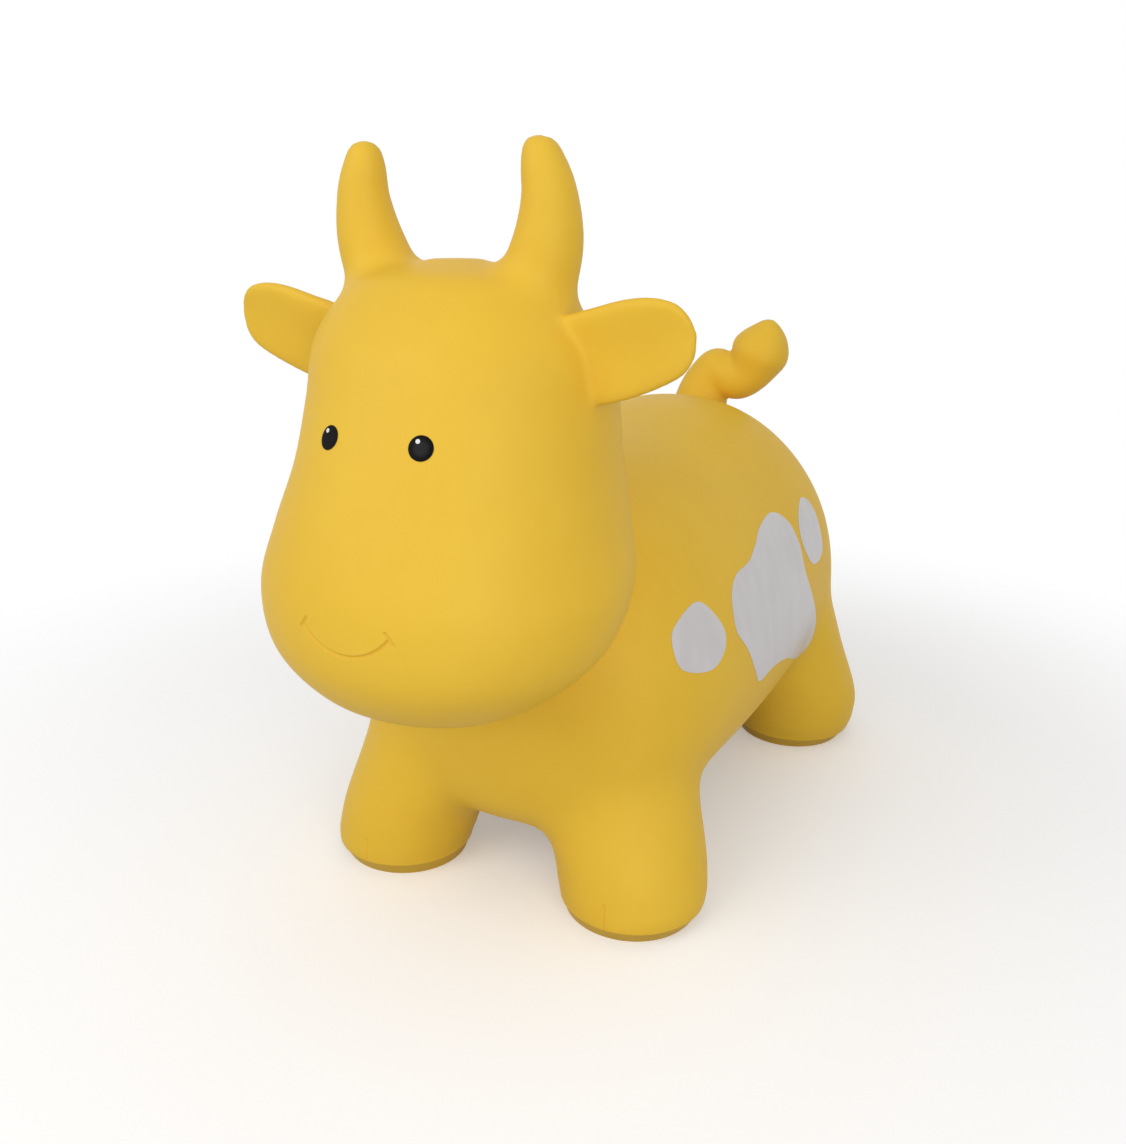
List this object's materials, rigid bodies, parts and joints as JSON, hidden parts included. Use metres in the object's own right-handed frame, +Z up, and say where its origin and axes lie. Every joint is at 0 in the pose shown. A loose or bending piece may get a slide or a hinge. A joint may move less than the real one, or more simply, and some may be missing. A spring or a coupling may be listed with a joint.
{
  "type": "bouncy ride on animal",
  "caption": "Inflatable yellow vinyl cow for a small child to sit and bounce on, with horns to hold, side ears, a folded tail, pale flank patches and a pull-out belly valve.",
  "frame": {"origin": "on the floor, below the middle of the cow's length and on its middle plane", "axes": "the cow faces -Y, its left side is +X, its back end is +Y, +Z is up"},
  "size_m": [0.3581, 0.5925, 0.52],
  "materials": {
    "yellow_vinyl": "satin",
    "valve_plastic": "satin",
    "stopper_plastic": "satin",
    "eye_print": "satin",
    "highlight_print": "satin",
    "patch_print": "matte"
  },
  "bodies": {
    "toy": {"skin": "yellow_vinyl", "valve_collar": "valve_plastic", "eye_left": "eye_print", "eye_right": "eye_print", "eye_highlight_left": "highlight_print", "eye_highlight_right": "highlight_print", "patch_left_front": "patch_print", "patch_left_middle": "patch_print", "patch_left_rear": "patch_print", "patch_right_front": "patch_print", "patch_right_middle": "patch_print", "patch_right_rear": "patch_print"},
    "stopper": {"valve_stopper": "stopper_plastic"}
  },
  "joints": [
    {"name": "stopper_pull", "type": "slide", "parent": "toy", "child": "stopper", "axis": [0, 0, -1], "range_m": [0, 0.0165]}
  ]
}
